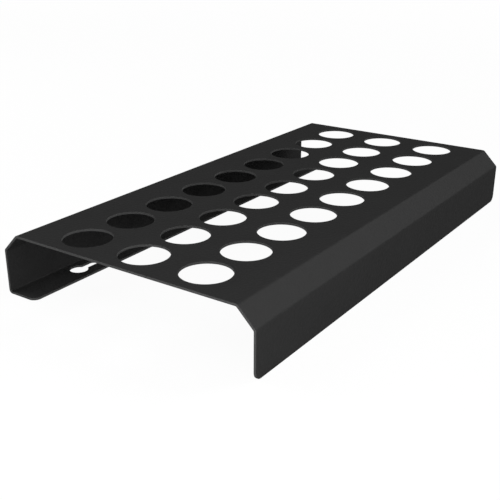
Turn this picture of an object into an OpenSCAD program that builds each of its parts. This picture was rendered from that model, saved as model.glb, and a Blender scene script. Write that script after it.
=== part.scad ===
// Collet stand: one sheet of steel, cut flat with its holes and folded five times.
// X runs along the rows of holes, the front is at -Y, and Z is up from the bench.
// The origin is on the bench, under the middle of the stand.

/* [Sheet] */
// Thickness of the steel sheet
sheet_t = 1.5; // [1:0.1:2.5]
// Radius inside each fold
fold_r = 1; // [0.6:0.1:2]
// Radius of the four free corners that face the bench
corner_r = 5; // [1:0.5:8]

/* [Collet holes] */
// Diameter of each collet hole
hole_d = 31; // [20:0.5:34]
// Number of holes in each row
holes_per_row = 9; // [2:1:12]
// Number of rows across the stand
rows = 3; // [1:1:5]
// Distance between hole centres along a row
hole_pitch = 38.5; // [36:0.1:50]
// Distance between the centre lines of two rows
row_pitch = 45.3; // [36:0.1:60]

/* [Stand] */
// Distance from the last hole centre of a row to the cut end
end_margin = 22.7; // [18:0.1:60]
// Distance from the front row to the front shoulder's upper edge
front_margin = 36.9; // [24:0.1:60]
// Distance from the rear row to the rear shoulder's upper edge
rear_margin = 38.9; // [24:0.1:60]
// Width of each 45 degree shoulder, which is its height too
shoulder = 11.8; // [6:0.1:16]
// Height of the top face above the bench
stand_h = 41.6; // [36:0.1:90]
// Depth of the foot flange, from the rear wall's outer face
foot_depth = 23.3; // [20:0.1:50]

/* [Keyholes] */
// Diameter of the round opening that a screw head passes through
key_head_d = 12.5; // [8:0.1:14]
// Width of the slot that holds the screw's shank
key_slot_w = 5.7; // [4:0.1:7]
// Distance from the centre of the round opening to the centre of the slot's round end
key_travel = 13.3; // [9:0.1:20]
// Distance from each cut end of the stand to the round opening nearest it
key_end = 50; // [25:0.5:80]
// Distance from the rear wall's outer face to the keyholes' centre line
key_inset = 11.3; // [10:0.1:13]

/* [Hidden] */

$fn = 96;
shoulder_angle = 45;

// How far past a face each cut runs
cut_over = 1;

// How far each rounding's circle stands proud of the flats it joins, so that their faces cross
blend = 0.002;

// Overall sizes, which follow from the hole pattern and its margins
stand_l = (holes_per_row - 1) * hole_pitch + 2 * end_margin;
plate_w = (rows - 1) * row_pitch + front_margin + rear_margin;
stand_w = plate_w + 2 * shoulder;

// Y of the front and rear walls' outer faces, of the front row of holes and of the
// foot flange's free edge
front_y = -stand_w / 2;
rear_y = stand_w / 2;
first_row_y = front_y + shoulder + front_margin;
foot_edge_y = rear_y - foot_depth;

// Radius of a fold's outer face
fold_outer_r = fold_r + sheet_t;

// Distance of a shoulder fold's centre from the sharp corner that its outer faces would
// make, measured along the plate or the wall
shoulder_setback = fold_outer_r * tan(shoulder_angle / 2);

// Heights of the centres of the folds at the top and at the bottom of each shoulder
upper_fold_z = stand_h - fold_outer_r;
lower_fold_z = stand_h - shoulder - shoulder_setback;

// Each fold in turn, from the foot flange over the top to the front wall: its centre in
// the Y-Z plane, then the directions in which the flats before and after it face
FOLDS = [
    [[rear_y - fold_outer_r, fold_outer_r], -90, 0],
    [[rear_y - fold_outer_r, lower_fold_z], 0, shoulder_angle],
    [[rear_y - shoulder - shoulder_setback, upper_fold_z], shoulder_angle, 90],
    [[front_y + shoulder + shoulder_setback, upper_fold_z], 90, 180 - shoulder_angle],
    [[front_y + fold_outer_r, lower_fold_z], 180 - shoulder_angle, 180],
];

// Area inside the faces that have radius r at the folds, closed by the points given
module area_inside(r, closing) {
    fold_ends = [for (fold = FOLDS) for (a = [fold[1], fold[2]]) fold[0] + r * [cos(a), sin(a)]];
    polygon(concat(fold_ends, closing));
    for (fold = FOLDS)
        translate(fold[0])
            circle(r = r + blend);
}

// Section across the folded sheet
module section() {
    inner_front_y = front_y + sheet_t;
    difference() {
        area_inside(fold_outer_r, [[front_y, 0]]);
        area_inside(fold_r, [
            [inner_front_y, -cut_over],
            [foot_edge_y, -cut_over],
            [foot_edge_y, sheet_t],
        ]);
    }
}

// The folded sheet with square ends and no holes
module folded_sheet() {
    translate([-stand_l / 2, 0, 0])
        rotate([90, 0, 90])
            linear_extrude(stand_l)
                section();
}

// One round hole through the top plate
module collet_hole() {
    translate([0, 0, stand_h - sheet_t - cut_over])
        cylinder(d = hole_d, h = sheet_t + 2 * cut_over);
}

// All collet holes, in rows along the stand
module collet_holes() {
    for (row = [0 : rows - 1])
        for (column = [0 : holes_per_row - 1])
            translate([(column - (holes_per_row - 1) / 2) * hole_pitch, first_row_y + row * row_pitch, 0])
                collet_hole();
}

// Keyhole through the foot flange: a screw head's opening and a slot from it towards +X
module keyhole() {
    depth = sheet_t + 2 * cut_over;
    translate([0, 0, -cut_over]) {
        cylinder(d = key_head_d, h = depth);
        translate([0, -key_slot_w / 2, 0])
            cube([key_travel, key_slot_w, depth]);
        translate([key_travel, 0, 0])
            cylinder(d = key_slot_w, h = depth);
    }
}

// Both keyholes, with their slots the same way so that the stand slides onto two screws
module keyholes() {
    for (x = [-stand_l / 2 + key_end, stand_l / 2 - key_end])
        translate([x, rear_y - key_inset, 0])
            keyhole();
}

// What rounding takes off a square corner at the origin, in the plane of a sheet whose
// corner points to +X and +Y
module corner_waste() {
    depth = sheet_t + 2 * cut_over;
    translate([0, 0, -cut_over])
        difference() {
            translate([-corner_r, -corner_r, 0])
                cube([corner_r + cut_over, corner_r + cut_over, depth]);
            translate([-corner_r, -corner_r, -cut_over])
                cylinder(r = corner_r + blend, h = depth + 2 * cut_over);
        }
}

// Rounding of the foot flange's two free corners and of the front wall's two lower ones
module rounded_corners() {
    for (side = [0, 1])
        mirror([side, 0, 0]) {
            translate([stand_l / 2, foot_edge_y, 0])
                mirror([0, 1, 0])
                    corner_waste();
            translate([stand_l / 2, front_y, 0])
                rotate([90, 0, 0])
                    translate([0, 0, -sheet_t])
                        mirror([0, 1, 0])
                            corner_waste();
        }
}

module stand() {
    color([0.18, 0.18, 0.18])
        difference() {
            folded_sheet();
            collet_holes();
            keyholes();
            rounded_corners();
        }
}

stand();
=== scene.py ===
"""Finish, light and camera for a collet stand.

The stand is one sheet of steel, cut flat with its holes, folded five times and powder
coated black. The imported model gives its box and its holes. This script builds the same
sheet as a fine mesh with softened cut edges, dresses it and puts it in a pale studio.

X runs along the rows of holes, the front is at -Y and Z is up. Lengths are in metres.
"""

import logging
import math
from abc import ABC, abstractmethod
from dataclasses import dataclass
from enum import Enum
from itertools import pairwise, zip_longest

import bmesh
import bpy
from bmesh.types import BMesh, BMVert
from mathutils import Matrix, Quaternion, Vector
from mathutils.geometry import delaunay_2d_cdt


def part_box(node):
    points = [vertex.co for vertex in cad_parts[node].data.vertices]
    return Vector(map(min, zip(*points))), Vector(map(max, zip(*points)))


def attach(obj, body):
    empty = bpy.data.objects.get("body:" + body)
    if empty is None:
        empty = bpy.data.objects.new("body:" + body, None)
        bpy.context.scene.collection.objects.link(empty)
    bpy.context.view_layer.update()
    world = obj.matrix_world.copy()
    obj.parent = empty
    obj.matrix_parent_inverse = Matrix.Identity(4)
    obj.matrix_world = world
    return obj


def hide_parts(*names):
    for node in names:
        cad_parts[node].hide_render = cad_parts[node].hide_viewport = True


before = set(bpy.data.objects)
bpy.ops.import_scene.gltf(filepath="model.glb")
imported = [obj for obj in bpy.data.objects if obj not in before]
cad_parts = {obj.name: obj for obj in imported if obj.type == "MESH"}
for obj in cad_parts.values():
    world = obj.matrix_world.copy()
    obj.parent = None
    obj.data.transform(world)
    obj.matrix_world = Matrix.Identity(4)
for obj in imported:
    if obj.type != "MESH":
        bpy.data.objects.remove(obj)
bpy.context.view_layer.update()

log = logging.getLogger("collet_stand")

MM = 0.001
NODE = "stand"
BODY = "root"
RIGHT_ANGLE = math.radians(90)
SHOULDER_ANGLE = math.radians(45)
# Output type of the triangulation that leaves out all that lies past the outer outline
WITHIN_OUTLINE = 1
# Numbers of a Mix node's sockets, because its number and colour sockets share their names
MIX_FACTOR = 0
MIX_NUMBERS = (2, 3)
MIX_NUMBER_RESULT = 0
MIX_COLOURS = (6, 7)
MIX_COLOUR_RESULT = 2


class SheetSide(Enum):
    """The two faces of the sheet: the one outside the folds and the one inside them."""

    OUTER = "outer"
    INNER = "inner"


class Coat(Enum):
    """Which finish a face of the mesh wears, as its material index."""

    FACE = 0
    CUT_EDGE = 1


class RayKind(Enum):
    """Outputs of Light Path that tell the rays that see the white background from the rest."""

    CAMERA = "Is Camera Ray"
    GLOSSY = "Is Glossy Ray"
    TRANSMISSION = "Is Transmission Ray"


def linear(code: str) -> tuple[float, float, float, float]:
    """Turn an sRGB hex colour into linear light, by the curve of the sRGB standard.

    Args:
        code: The colour, such as "#202020".

    Returns:
        Red, green, blue and an alpha of 1.
    """
    channels = [int(code[start : start + 2], 16) / 255 for start in (1, 3, 5)]
    curve = [c / 12.92 if c <= 0.04045 else ((c + 0.055) / 1.055) ** 2.4 for c in channels]
    return (*curve, 1.0)


def add_node(
    tree: bpy.types.NodeTree,
    kind: str,
    settings: dict[str | int, object] | None = None,
    links: dict[str | int, bpy.types.NodeSocket] | None = None,
) -> bpy.types.Node:
    """Add one node to a tree.

    Args:
        tree: The node tree.
        kind: The node's type, such as "ShaderNodeTexNoise".
        settings: Values by socket name, socket number or property name.
        links: Output sockets by the name or number of the input that each one feeds.

    Returns:
        The new node.
    """
    node = tree.nodes.new(kind)
    for name, value in (settings or {}).items():
        if isinstance(name, str) and name not in node.inputs:
            setattr(node, name, value)
        else:
            node.inputs[name].default_value = value
    for name, source in (links or {}).items():
        tree.links.new(source, node.inputs[name])
    return node


def direction(azimuth: float, elevation: float) -> Vector:
    """Return the unit vector towards a place round the stand.

    Args:
        azimuth: Degrees round from the front, towards +X.
        elevation: Degrees above the floor.

    Returns:
        The vector from the stand.
    """
    around, above = math.radians(azimuth), math.radians(elevation)
    level = math.cos(above)
    return Vector((math.sin(around) * level, -math.cos(around) * level, math.sin(above)))


class Cut(ABC):
    """A cut edge of the flat blank, whose outline can be moved into the sheet."""

    @abstractmethod
    def ring(self, inset: float) -> list[Vector]:
        """Return the outline's points in order, moved into the sheet.

        Args:
            inset: How far they are moved.

        Returns:
            The points, in the plane of the blank.
        """

    @abstractmethod
    def removes(self, point: Vector, inset: float) -> bool:
        """Tell whether a point lies on the waste side of the moved outline.

        Args:
            point: The point, in the plane of the blank.
            inset: How far the outline is moved into the sheet.

        Returns:
            True where the sheet is cut away.
        """


@dataclass(frozen=True)
class ColletHole(Cut):
    """One round hole of the plate."""

    centre: Vector
    radius: float
    steps: int = 96

    def ring(self, inset: float) -> list[Vector]:
        """Return the points of the circle. See Cut."""
        angles = [math.tau * step / self.steps for step in range(self.steps)]
        return arc_points(self.centre, self.radius + inset, angles)

    def removes(self, point: Vector, inset: float) -> bool:
        """Tell whether the point is in the circle. See Cut."""
        return (point - self.centre).length < self.radius + inset


@dataclass(frozen=True)
class Keyhole(Cut):
    """One keyhole of the foot: a screw head's opening with a slot towards +X."""

    centre: Vector
    head_radius: float
    slot_radius: float
    travel: float
    head_steps: int = 72
    side_steps: int = 6
    end_steps: int = 24

    def ring(self, inset: float) -> list[Vector]:
        """Return the points of the head's arc and the slot.

        Args:
            inset: How far they are moved into the sheet.

        Returns:
            The points, from where the slot meets the head round to there again.
        """
        head, slot = self.head_radius + inset, self.slot_radius + inset
        neck = math.asin(slot / head)
        head_angles = spread(neck, math.tau - neck, self.head_steps)
        end_angles = spread(-RIGHT_ANGLE, RIGHT_ANGLE, self.end_steps)
        end_centre = self.centre + Vector((self.travel, 0))
        around_head = arc_points(self.centre, head, head_angles)
        around_end = arc_points(end_centre, slot, end_angles)
        there = between(around_head[-1], around_end[0], self.side_steps)
        back = between(around_end[-1], around_head[0], self.side_steps)
        return around_head + there + around_end + back

    def removes(self, point: Vector, inset: float) -> bool:
        """Tell whether the point is in the head or the slot.

        Args:
            point: The point, in the plane of the blank.
            inset: How far the outline is moved into the sheet.

        Returns:
            True in either of them.
        """
        offset = point - self.centre
        along = min(max(offset.x, 0), self.travel)
        in_slot = (offset - Vector((along, 0))).length < self.slot_radius + inset
        return in_slot or offset.length < self.head_radius + inset


@dataclass(frozen=True)
class BlankEdge(Cut):
    """The blank's outer edge, a rectangle with rounded corners that starts at height 0."""

    length: float
    width: float
    corner_radius: float
    columns: list[float]
    stations: list[float]
    corner_steps: int = 16

    def ring(self, inset: float) -> list[Vector]:
        """Return the points of the rounded rectangle.

        Args:
            inset: How far they are moved into the sheet.

        Returns:
            The points, from the foot's free edge round to there again.
        """
        side = self.length / 2
        reach = side - self.corner_radius
        low, high = self.corner_radius, self.width - self.corner_radius
        across = [x for x in self.columns if abs(x) < reach]
        along = [s for s in self.stations if low < s < high]
        points = [Vector((x, inset)) for x in across]
        points += self._corner(Vector((reach, low)), inset, quarter=3)
        points += [Vector((side - inset, s)) for s in along]
        points += self._corner(Vector((reach, high)), inset, quarter=0)
        points += [Vector((x, self.width - inset)) for x in reversed(across)]
        points += self._corner(Vector((-reach, high)), inset, quarter=1)
        points += [Vector((inset - side, s)) for s in reversed(along)]
        points += self._corner(Vector((-reach, low)), inset, quarter=2)
        return points

    def _corner(self, centre: Vector, inset: float, quarter: int) -> list[Vector]:
        """Return one corner's arc.

        Args:
            centre: The middle of the arc.
            inset: How far the outline is moved into the sheet.
            quarter: Right angles from +X round to where the arc begins.

        Returns:
            The points of the arc, its two ends among them.
        """
        first = quarter * RIGHT_ANGLE
        angles = spread(first, first + RIGHT_ANGLE, self.corner_steps)
        return arc_points(centre, self.corner_radius - inset, angles)

    def removes(self, point: Vector, inset: float) -> bool:
        """Tell whether the point is outside the rounded rectangle.

        Args:
            point: The point, in the plane of the blank.
            inset: How far the outline is moved into the sheet.

        Returns:
            True past its sides or its corners.
        """
        past_x = abs(point.x) - self.length / 2 + self.corner_radius
        past_y = abs(point.y - self.width / 2) - self.width / 2 + self.corner_radius
        outside = math.hypot(max(past_x, 0), max(past_y, 0)) + min(max(past_x, past_y), 0)
        return outside > self.corner_radius - inset


def spread(first: float, last: float, steps: int) -> list[float]:
    """Return steps + 1 even values from first to last."""
    return [first + (last - first) * step / steps for step in range(steps + 1)]


def arc_points(centre: Vector, radius: float, angles: list[float]) -> list[Vector]:
    """Return the points of a circle at the angles given, in radians from +X."""
    return [centre + radius * Vector((math.cos(a), math.sin(a))) for a in angles]


def between(start: Vector, end: Vector, steps: int) -> list[Vector]:
    """Return the points that split a line into steps, without its two ends."""
    return [start.lerp(end, step / steps) for step in range(1, steps)]


@dataclass(frozen=True)
class Stretch:
    """One flat or one fold of the stand's section, followed along its outer face.

    Distances are measured along the outer face from the foot's free edge. The origin is
    the (y, z) point at which the stretch begins, and the heading is the direction there,
    in radians from +Y towards +Z. A fold turns through an angle, and a flat through 0.
    """

    start: float
    length: float
    origin: Vector
    heading: float
    turn: float = 0.0

    @property
    def end(self) -> float:
        """Distance at which the stretch ends."""
        return self.start + self.length

    def place(self, distance: float, depth: float) -> Vector:
        """Return the (y, z) point at a distance along the outer face.

        Args:
            distance: Distance along the outer face.
            depth: How far the point lies under that face.

        Returns:
            The point.
        """
        done = distance - self.start
        facing = unit(self.heading - RIGHT_ANGLE)
        if not self.turn:
            return self.origin + done * unit(self.heading) - depth * facing
        radius = self.length / self.turn
        centre = self.origin - radius * facing
        return centre + (radius - depth) * unit(self.heading - RIGHT_ANGLE + done / radius)

    def distance_at(self, y: float) -> float:
        """Return the distance at which a level flat reaches a Y."""
        return self.start + (y - self.origin.x) / math.cos(self.heading)


def unit(angle: float) -> Vector:
    """Return the unit vector of a plane at an angle in radians."""
    return Vector((math.cos(angle), math.sin(angle)))


@dataclass
class FoldedSheet:
    """The stand's one sheet: its sizes, its flat blank, its folds and its mesh.

    The length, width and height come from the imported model's box.
    """

    length: float
    width: float
    height: float
    sheet: float = 1.5 * MM
    fold_radius: float = 1.0 * MM
    corner_radius: float = 5.0 * MM
    shoulder: float = 11.8 * MM
    foot_depth: float = 23.3 * MM
    hole_radius: float = 15.5 * MM
    hole_pitch: float = 38.5 * MM
    row_pitch: float = 45.3 * MM
    front_margin: float = 36.9 * MM
    holes_per_row: int = 9
    rows: int = 3
    key_head_radius: float = 6.25 * MM
    key_slot_radius: float = 2.85 * MM
    key_travel: float = 13.3 * MM
    key_end: float = 50.0 * MM
    key_inset: float = 11.3 * MM
    # Radius that deburring and the coat leave on each arris of a cut edge
    arris_radius: float = 0.18 * MM
    arris_steps: int = 4
    # Width of the band of even faces that runs round each cut edge
    band: float = 1.4 * MM
    fold_steps: int = 12
    # Size of a cell of the grid between the bands, and how many bands' widths its points keep
    # from a cut edge
    cell: float = 5.0 * MM
    grid_margin: float = 1.9
    # Distance in millimetres below which the triangulation takes two points for one
    tolerance: float = 1e-6
    # Bend between two triangles, and skew of the four-sided face that they make, up to which
    # they are joined
    join_bend: float = math.radians(1)
    join_skew: float = math.radians(50)

    def __post_init__(self) -> None:
        """Walk the section once, because all else is placed along it."""
        self.stretches = self._walk()

    def _walk(self) -> list[Stretch]:
        """Walk the section from the foot over the top to the front wall.

        Returns:
            Its flats and folds in that order.
        """
        outer_radius = self.fold_radius + self.sheet
        setback = outer_radius * math.tan(SHOULDER_ANGLE / 2)
        rise = self.height - self.shoulder - setback
        slope = self.shoulder / math.sin(SHOULDER_ANGLE) - 2 * setback
        plate = self.width - 2 * (self.shoulder + setback)
        flats = [self.foot_depth - outer_radius, rise - outer_radius, slope, plate, slope, rise]
        turns = [RIGHT_ANGLE] + [SHOULDER_ANGLE] * 4
        done, heading = 0.0, 0.0
        origin = Vector((self.width / 2 - self.foot_depth, 0))
        walked = []
        for flat, turn in zip_longest(flats, turns):
            for length, angle in ((flat, 0.0), (outer_radius * (turn or 0), turn or 0.0)):
                if length:
                    walked.append(Stretch(done, length, origin, heading, angle))
                    origin = walked[-1].place(done + length, 0)
                    done += length
                    heading += angle
        return walked

    @property
    def foot(self) -> Stretch:
        """The flat that lies on the floor."""
        return self.stretches[0]

    @property
    def plate(self) -> Stretch:
        """The longest flat, which holds the collets."""
        return max(self.stretches, key=lambda stretch: stretch.length)

    def stations(self) -> list[float]:
        """Return the distances along the section at which the mesh has a line of points.

        Returns:
            The distances, from the foot's free edge to the front wall's.
        """
        found = [0.0]
        for stretch in self.stretches:
            steps = self.fold_steps if stretch.turn else round(stretch.length / self.cell)
            found += spread(stretch.start, stretch.end, steps)[1:]
        return found

    def columns(self) -> list[float]:
        """Return the X of each line of points across the sheet, its two ends left out."""
        steps = round(self.length / self.cell)
        return spread(-self.length / 2, self.length / 2, steps)[1:-1]

    def cuts(self) -> list[Cut]:
        """Return every cut edge of the blank.

        Returns:
            The outer edge first, then the holes and the keyholes.
        """
        whole = self.stretches[-1].end
        edge = BlankEdge(self.length, whole, self.corner_radius, self.columns(), self.stations())
        return [edge, *self._collet_holes(), *self._keyholes()]

    def _collet_holes(self) -> list[ColletHole]:
        """Return the plate's holes.

        Returns:
            The holes, row by row from the front.
        """
        first_y = self.front_margin + self.shoulder - self.width / 2
        first_x = -(self.holes_per_row - 1) / 2 * self.hole_pitch
        holes = []
        for row in range(self.rows):
            across = self.plate.distance_at(first_y + row * self.row_pitch)
            for column in range(self.holes_per_row):
                centre = Vector((first_x + column * self.hole_pitch, across))
                holes.append(ColletHole(centre, self.hole_radius))
        return holes

    def _keyholes(self) -> list[Keyhole]:
        """Return the foot's two keyholes, with their slots the same way.

        Returns:
            The keyholes, the one at -X first.
        """
        across = self.foot.distance_at(self.width / 2 - self.key_inset)
        reach = self.length / 2 - self.key_end
        sizes = (self.key_head_radius, self.key_slot_radius, self.key_travel)
        return [Keyhole(Vector((x, across)), *sizes) for x in (-reach, reach)]

    def place(self, point: Vector, depth: float) -> Vector:
        """Fold a point of the blank into its place on the stand.

        Args:
            point: X, and the distance along the section.
            depth: How far the point lies under the outer face.

        Returns:
            The point in the stand's frame.
        """
        last = self.stretches[-1]
        stretch = next((s for s in self.stretches if point.y < s.end), last)
        y, z = stretch.place(point.y, depth)
        return Vector((point.x, y, z))

    def edge_profile(self) -> list[tuple[float, float]]:
        """Return the section of a cut edge with its two rounded arrises.

        Returns:
            Steps of (inset, depth) from the outer face to the inner one.
        """
        radius = self.arris_radius
        angles = spread(0, RIGHT_ANGLE, self.arris_steps)
        arris = [(radius * (1 - math.sin(a)), radius * (1 - math.cos(a))) for a in angles]
        outer = [(self.band, 0.0), *arris]
        inner = [(inset, self.sheet - depth) for inset, depth in reversed(outer)]
        return outer + inner

    def build(self, finishes: dict[Coat, bpy.types.Material]) -> bpy.types.Object:
        """Build the sheet's mesh and dress it.

        Args:
            finishes: The material of each coat.

        Returns:
            The sheet, as an object.
        """
        work = bmesh.new()
        cuts = self.cuts()
        rims = {side: [] for side in SheetSide}
        for cut in cuts:
            rings = self._edge_band(work, cut)
            rims[SheetSide.OUTER] += rings[0]
            rims[SheetSide.INNER] += rings[-1]
        self._fill_faces(work, cuts, rims)
        bmesh.ops.recalc_face_normals(work, faces=work.faces)
        mesh = bpy.data.meshes.new("folded_sheet")
        work.to_mesh(mesh)
        work.free()
        mesh.shade_smooth()
        for coat in Coat:
            mesh.materials.append(finishes[coat])
        piece = bpy.data.objects.new("folded_sheet", mesh)
        bpy.context.scene.collection.objects.link(piece)
        shading = piece.modifiers.new("even shading", "WEIGHTED_NORMAL")
        shading.keep_sharp = True
        return piece

    def _edge_band(self, work: BMesh, cut: Cut) -> list[list[BMVert]]:
        """Make the faces round one cut edge.

        Args:
            work: The mesh being built.
            cut: The cut edge.

        Returns:
            Its rings of vertices, from the outer face round the edge to the inner face.
        """
        profile = self.edge_profile()
        rings = [
            [work.verts.new(self.place(point, depth)) for point in cut.ring(inset)]
            for inset, depth in profile
        ]
        for (start, end), (ring, following) in zip(pairwise(profile), pairwise(rings)):
            on_face = start[1] == end[1]
            coat = Coat.FACE if on_face else Coat.CUT_EDGE
            for step in range(len(ring)):
                before = step - 1
                corners = (ring[before], ring[step], following[step], following[before])
                work.faces.new(corners).material_index = coat.value
        return rings

    def _fill_faces(
        self, work: BMesh, cuts: list[Cut], rims: dict[SheetSide, list[BMVert]]
    ) -> None:
        """Fill both faces of the sheet between the bands round the cut edges.

        Args:
            work: The mesh being built.
            cuts: All cut edges.
            rims: The vertices of the bands' rims on each side, cut by cut.
        """
        outline, edges = [], []
        for cut in cuts:
            ring = cut.ring(self.band)
            first = len(outline)
            edges += [(first + step, first + (step + 1) % len(ring)) for step in range(len(ring))]
            outline += ring
        # In millimetres the steps are well above the tolerance
        scaled = [point / MM for point in outline + self._grid(cuts)]
        flat, _, faces, sources, _, _ = delaunay_2d_cdt(
            scaled, edges, [], WITHIN_OUTLINE, self.tolerance
        )
        kept = [face for face in faces if not self._is_waste([flat[i] for i in face], cuts)]
        for side, depth in ((SheetSide.OUTER, 0.0), (SheetSide.INNER, self.sheet)):
            rim = rims[side]
            corners = [
                rim[source[0]]
                if source and source[0] < len(rim)
                else work.verts.new(self.place(point * MM, depth))
                for point, source in zip(flat, sources)
            ]
            filled = [work.faces.new([corners[index] for index in face]) for face in kept]
            bmesh.ops.join_triangles(
                work,
                faces=filled,
                angle_face_threshold=self.join_bend,
                angle_shape_threshold=self.join_skew,
            )
        loose = [vertex for vertex in work.verts if not vertex.link_faces]
        bmesh.ops.delete(work, geom=loose, context="VERTS")

    def _grid(self, cuts: list[Cut]) -> list[Vector]:
        """Return the points inside the faces, on the lines across and along the sheet.

        Args:
            cuts: All cut edges, from which the points keep clear.

        Returns:
            The points, in the plane of the blank.
        """
        margin = self.grid_margin * self.band
        grid = [Vector((x, s)) for s in self.stations() for x in self.columns()]
        return [point for point in grid if not any(cut.removes(point, margin) for cut in cuts)]

    def _is_waste(self, corners: list[Vector], cuts: list[Cut]) -> bool:
        """Tell whether a triangle, given by its corners in millimetres, lies in a hole."""
        centre = sum(corners, Vector((0, 0))) / len(corners) * MM
        return any(cut.removes(centre, self.band) for cut in cuts[1:])


@dataclass(frozen=True)
class PowderCoat:
    """Black polyester powder, sprayed on and baked to one even skin between matt and satin.

    It levels as it bakes, so it keeps shallow waves called orange peel. It shows as a
    faint mottle with no mirror in it, over a tone that is nearly even.
    """

    name: str
    # Colours between which the skin's tone drifts
    dark: str
    light: str
    roughness: float
    roughness_drift: float
    specular: float
    # Spacing and height of the orange peel
    peel: float
    peel_height: float
    # Spacing and height of the grain of single powder grains that didn't level
    grain: float
    grain_height: float
    # Spacing of the slow drift in tone from the spray passes
    drift: float = 28 * MM
    # Octaves of finer waves that the noise adds to the drift and to each layer of lumps
    drift_detail: float = 3.0
    lump_detail: float = 1.0
    # Refractive index of polyester
    ior: float = 1.5

    def build(self) -> bpy.types.Material:
        """Build the material.

        Returns:
            The material, with its pattern fixed to the stand.
        """
        material = bpy.data.materials.new(self.name)
        material.use_nodes = True
        tree = material.node_tree
        tree.nodes.clear()
        place = add_node(tree, "ShaderNodeTexCoord").outputs["Object"]
        settings = {"Scale": 1 / self.drift, "Detail": self.drift_detail}
        passes = add_node(tree, "ShaderNodeTexNoise", settings, {"Vector": place}).outputs["Fac"]
        dark, light = MIX_COLOURS
        tone = add_node(
            tree,
            "ShaderNodeMix",
            {"data_type": "RGBA", dark: linear(self.dark), light: linear(self.light)},
            {MIX_FACTOR: passes},
        ).outputs[MIX_COLOUR_RESULT]
        sheen = add_node(
            tree,
            "ShaderNodeMapRange",
            {
                "To Min": self.roughness - self.roughness_drift,
                "To Max": self.roughness + self.roughness_drift,
            },
            {"Value": passes},
        ).outputs["Result"]
        peel = self._relief(tree, place, self.peel, self.peel_height)
        skin = self._relief(tree, place, self.grain, self.grain_height, peel)
        shader = add_node(
            tree,
            "ShaderNodeBsdfPrincipled",
            {"IOR": self.ior, "Specular IOR Level": self.specular},
            {"Base Color": tone, "Roughness": sheen, "Normal": skin},
        )
        add_node(tree, "ShaderNodeOutputMaterial", links={"Surface": shader.outputs["BSDF"]})
        return material

    def _relief(
        self,
        tree: bpy.types.NodeTree,
        place: bpy.types.NodeSocket,
        spacing: float,
        height: float,
        under: bpy.types.NodeSocket | None = None,
    ) -> bpy.types.NodeSocket:
        """Raise one layer of lumps on the skin.

        Args:
            tree: The material's node tree.
            place: The place on the stand, in metres.
            spacing: Distance from lump to lump.
            height: Height of the lumps.
            under: The normal of the layer that this one lies on.

        Returns:
            The skin's normal with this layer on it.
        """
        settings = {"Scale": 1 / spacing, "Detail": self.lump_detail}
        lumps = add_node(tree, "ShaderNodeTexNoise", settings, {"Vector": place}).outputs["Fac"]
        links = {"Height": lumps}
        if under is not None:
            links["Normal"] = under
        return add_node(tree, "ShaderNodeBump", {"Distance": height}, links).outputs["Normal"]


# The skin on the sheet's faces: a deep neutral black, between matt and satin. Its grain is
# too fine to show from where the stand is looked at, so its orange peel is drawn with lumps
# as high as it needs to show.
FACE_COAT = PowderCoat(
    name="black powder coat on steel sheet",
    dark="#2A2A2A",
    light="#2E2E2E",
    roughness=0.45,
    roughness_drift=0.04,
    specular=0.02,
    peel=2.0 * MM,
    peel_height=0.2 * MM,
    grain=0.5 * MM,
    grain_height=0.004 * MM,
)

# The coat draws back from cut edges as it bakes, and where it is thin its black looks greyer. The
# greys are set lighter still, as a painted highlight for the light that the cut edges catch
EDGE_COAT_WITH_PAINTED_HIGHLIGHT = PowderCoat(
    name="black powder coat thinned at cut edges",
    dark="#3B3B3B",
    light="#484848",
    roughness=0.55,
    roughness_drift=0.05,
    specular=0.02,
    peel=0.9 * MM,
    peel_height=0.01 * MM,
    grain=0.3 * MM,
    grain_height=0.002 * MM,
)


@dataclass(frozen=True)
class SoftBox:
    """One rectangular soft lamp that faces the middle of the stand.

    Its azimuth and elevation are in degrees, and its power is in watts.
    """

    name: str
    azimuth: float
    elevation: float
    distance: float
    width: float
    height: float
    power: float

    def build(self, target: Vector) -> bpy.types.Object:
        """Build the lamp, facing the target.

        Args:
            target: The point that it faces.

        Returns:
            The lamp, as an object.
        """
        lamp = bpy.data.lights.new(self.name, "AREA")
        lamp.shape = "RECTANGLE"
        lamp.size = self.width
        lamp.size_y = self.height
        lamp.energy = self.power
        placed = bpy.data.objects.new(self.name, lamp)
        outward = direction(self.azimuth, self.elevation)
        placed.location = target + self.distance * outward
        placed.rotation_mode = "QUATERNION"
        placed.rotation_quaternion = (-outward).to_track_quat("-Z", "Y")
        placed.visible_camera = False
        bpy.context.scene.collection.objects.link(placed)
        return placed


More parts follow.
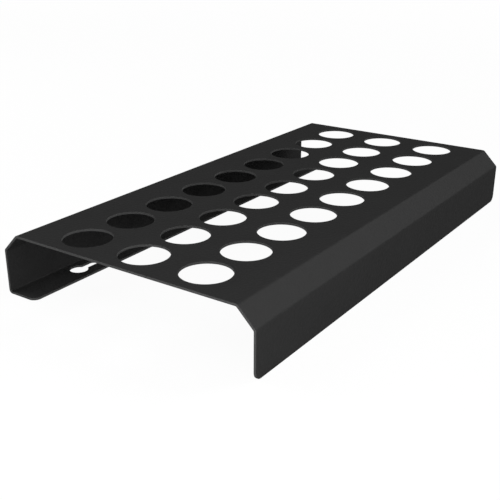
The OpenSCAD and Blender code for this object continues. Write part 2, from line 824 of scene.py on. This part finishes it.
@dataclass(frozen=True)
class Studio:
    """A plain pale floor under soft light, in front of a white backdrop.

    What the camera sees past the stand is white. What the stand mirrors is the floor and
    a backdrop that ends at a low height, with a dim room above it.
    """

    floor_reach: float = 6.0
    floor_drop: float = 0.05 * MM
    # The floor as it is seen, and the greyer tone in which it lights the stand
    floor_colour: str = "#FAFAFA"
    floor_bounce: str = "#DADADA"
    # Share of plain white in the floor beside the stand, where it keeps the shadow, and the
    # distances between which it grows to all white, as the backdrop is
    floor_white: float = 0.95
    floor_fade: tuple[float, float] = (0.4, 2.4)
    # Strength of white at which the stand mirrors the floor and the backdrop
    floor_mirrored: float = 0.22
    backdrop_mirrored: float = 0.3
    # Elevations, in degrees, between which the mirrored backdrop fades into the room
    backdrop_top: tuple[float, float] = (2.0, 9.0)
    # Light of the room on all that it reaches, where white would be 1
    room: float = 0.05
    lamps: tuple[SoftBox, ...] = (
        SoftBox(
            name="front softbox",
            azimuth=-55.0,
            elevation=38.0,
            distance=0.6,
            width=0.5,
            height=0.5,
            power=1.05,
        ),
        SoftBox(
            name="low softbox",
            azimuth=-65.0,
            elevation=7.0,
            distance=0.6,
            width=0.6,
            height=0.13,
            power=1.75,
        ),
        SoftBox(
            name="sheen softbox",
            azimuth=54.0,
            elevation=34.0,
            distance=4.0,
            width=1.7,
            height=1.7,
            power=119.0,
        ),
        SoftBox(
            name="back softbox",
            azimuth=-160.0,
            elevation=38.0,
            distance=1.3,
            width=0.9,
            height=0.6,
            power=9.0,
        ),
    )

    def build(self, target: Vector) -> None:
        """Build the floor, the surroundings and the lamps.

        Args:
            target: The point that the lamps face.
        """
        self._floor()
        self._surroundings()
        for lamp in self.lamps:
            lamp.build(target)

    def _rays(self, tree: bpy.types.NodeTree, *kinds: RayKind) -> bpy.types.NodeSocket:
        """Tell the rays of some kinds from all others.

        Args:
            tree: The node tree.
            kinds: The kinds, of which there is one at least.

        Returns:
            A socket that is 1 for those rays and 0 for the rest.
        """
        paths = add_node(tree, "ShaderNodeLightPath").outputs
        chosen = paths[kinds[0].value]
        for kind in kinds[1:]:
            links = {0: chosen, 1: paths[kind.value]}
            chosen = add_node(tree, "ShaderNodeMath", {"operation": "MAXIMUM"}, links).outputs[0]
        return chosen

    def _floor(self) -> None:
        """Build the floor, which keeps the stand's shadow."""
        mesh = bpy.data.meshes.new("floor")
        reach = self.floor_reach
        corners = [(-reach, -reach), (reach, -reach), (reach, reach), (-reach, reach)]
        mesh.from_pydata([(x, y, -self.floor_drop) for x, y in corners], [], [(0, 1, 2, 3)])
        mesh.materials.append(self._floor_paint())
        floor = bpy.data.objects.new("floor", mesh)
        bpy.context.scene.collection.objects.link(floor)

    def _floor_paint(self) -> bpy.types.Material:
        """Build the floor's matt paint, which is mixed with plain white where it is seen.

        Returns:
            The material.
        """
        material = bpy.data.materials.new("matt white floor paint")
        material.use_nodes = True
        tree = material.node_tree
        tree.nodes.clear()
        seen = self._rays(tree, RayKind.CAMERA)
        mirrored = self._rays(tree, RayKind.GLOSSY, RayKind.TRANSMISSION)
        unseen_tone, seen_tone = MIX_COLOURS
        tone = add_node(
            tree,
            "ShaderNodeMix",
            {
                "data_type": "RGBA",
                unseen_tone: linear(self.floor_bounce),
                seen_tone: linear(self.floor_colour),
            },
            {MIX_FACTOR: seen},
        ).outputs[MIX_COLOUR_RESULT]
        place = add_node(tree, "ShaderNodeTexCoord").outputs["Object"]
        away = add_node(tree, "ShaderNodeVectorMath", {"operation": "LENGTH"}, {0: place})
        near, far = self.floor_fade
        fade = add_node(
            tree,
            "ShaderNodeMapRange",
            {
                "interpolation_type": "SMOOTHSTEP",
                "From Min": near,
                "From Max": far,
                "To Min": self.floor_white,
                "To Max": 1.0,
            },
            {"Value": away.outputs["Value"]},
        )
        share = add_node(
            tree,
            "ShaderNodeMath",
            {"operation": "MULTIPLY_ADD"},
            {0: seen, 1: fade.outputs["Result"], 2: mirrored},
        )
        unseen_strength, seen_strength = MIX_NUMBERS
        strength = add_node(
            tree,
            "ShaderNodeMix",
            {unseen_strength: self.floor_mirrored, seen_strength: 1.0},
            {MIX_FACTOR: seen},
        ).outputs[MIX_NUMBER_RESULT]
        paint = add_node(tree, "ShaderNodeBsdfDiffuse", links={"Color": tone})
        white = add_node(tree, "ShaderNodeEmission", links={"Strength": strength})
        mixed = add_node(
            tree,
            "ShaderNodeMixShader",
            links={0: share.outputs[0], 1: paint.outputs[0], 2: white.outputs[0]},
        )
        add_node(tree, "ShaderNodeOutputMaterial", links={"Surface": mixed.outputs[0]})
        return material

    def _surroundings(self) -> None:
        """Make the world white to look at and dim to be lit by."""
        world = bpy.data.worlds.new("studio")
        world.use_nodes = True
        bpy.context.scene.world = world
        tree = world.node_tree
        tree.nodes.clear()
        sight = add_node(tree, "ShaderNodeTexCoord").outputs["Generated"]
        rise = add_node(tree, "ShaderNodeSeparateXYZ", links={0: sight}).outputs["Z"]
        full, none = (math.sin(math.radians(angle)) for angle in self.backdrop_top)
        backdrop = add_node(
            tree,
            "ShaderNodeMapRange",
            {
                "interpolation_type": "SMOOTHSTEP",
                "From Min": full,
                "From Max": none,
                "To Min": self.backdrop_mirrored,
                "To Max": 0.0,
            },
            {"Value": rise},
        )
        mirrored = add_node(
            tree,
            "ShaderNodeMath",
            {"operation": "MULTIPLY"},
            {
                0: self._rays(tree, RayKind.GLOSSY, RayKind.TRANSMISSION),
                1: backdrop.outputs["Result"],
            },
        )
        share = add_node(
            tree,
            "ShaderNodeMath",
            {"operation": "MAXIMUM"},
            {0: self._rays(tree, RayKind.CAMERA), 1: mirrored.outputs[0]},
        )
        dim, white = (
            add_node(
                tree,
                "ShaderNodeBackground",
                {"Color": linear("#FFFFFF"), "Strength": strength},
            )
            for strength in (self.room, 1.0)
        )
        mixed = add_node(
            tree,
            "ShaderNodeMixShader",
            links={0: share.outputs[0], 1: dim.outputs[0], 2: white.outputs[0]},
        )
        add_node(tree, "ShaderNodeOutputWorld", links={"Surface": mixed.outputs[0]})


@dataclass(frozen=True)
class ViewCamera:
    """The camera, which looks down on the stand's left front corner.

    Its angles are in degrees and its lens and sensor in millimetres.
    """

    location: Vector = Vector((-0.484547, -0.303953, 0.226799))
    azimuth: float = -55.358
    elevation: float = 22.325
    roll: float = 0.066
    lens: float = 59.842
    sensor: float = 36.0
    # Distances in metres between which the camera sees
    nearest: float = 0.01
    furthest: float = 50.0

    def build(self) -> bpy.types.Object:
        """Build the camera and make it the scene's.

        Returns:
            The camera.
        """
        data = bpy.data.cameras.new("camera")
        data.lens = self.lens
        data.sensor_width = self.sensor
        data.clip_start = self.nearest
        data.clip_end = self.furthest
        camera = bpy.data.objects.new("camera", data)
        camera.location = self.location
        camera.rotation_mode = "QUATERNION"
        aim = (-direction(self.azimuth, self.elevation)).to_track_quat("-Z", "Y")
        camera.rotation_quaternion = aim @ Quaternion((0, 0, 1), math.radians(self.roll))
        bpy.context.scene.collection.objects.link(camera)
        bpy.context.scene.camera = camera
        return camera


def main() -> None:
    """Build the camera, the stand and the studio, and report each one."""
    logging.basicConfig(level=logging.INFO, format="%(message)s")
    view = bpy.context.scene.view_settings
    view.view_transform = "Standard"
    camera = ViewCamera().build()
    log.info("camera at %s", [round(value, 3) for value in camera.location])

    low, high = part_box(NODE)
    stand = FoldedSheet(*(high - low))
    finishes = {Coat.FACE: FACE_COAT.build(), Coat.CUT_EDGE: EDGE_COAT_WITH_PAINTED_HIGHLIGHT.build()}
    piece = stand.build(finishes)
    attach(piece, BODY)
    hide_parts(NODE)
    log.info("%s: %d faces, %d holes", piece.name, len(piece.data.polygons), len(stand.cuts()) - 1)

    Studio().build(Vector((0, 0, stand.height / 2)))
    log.info("studio built")


if __name__ == "__main__":
    main()
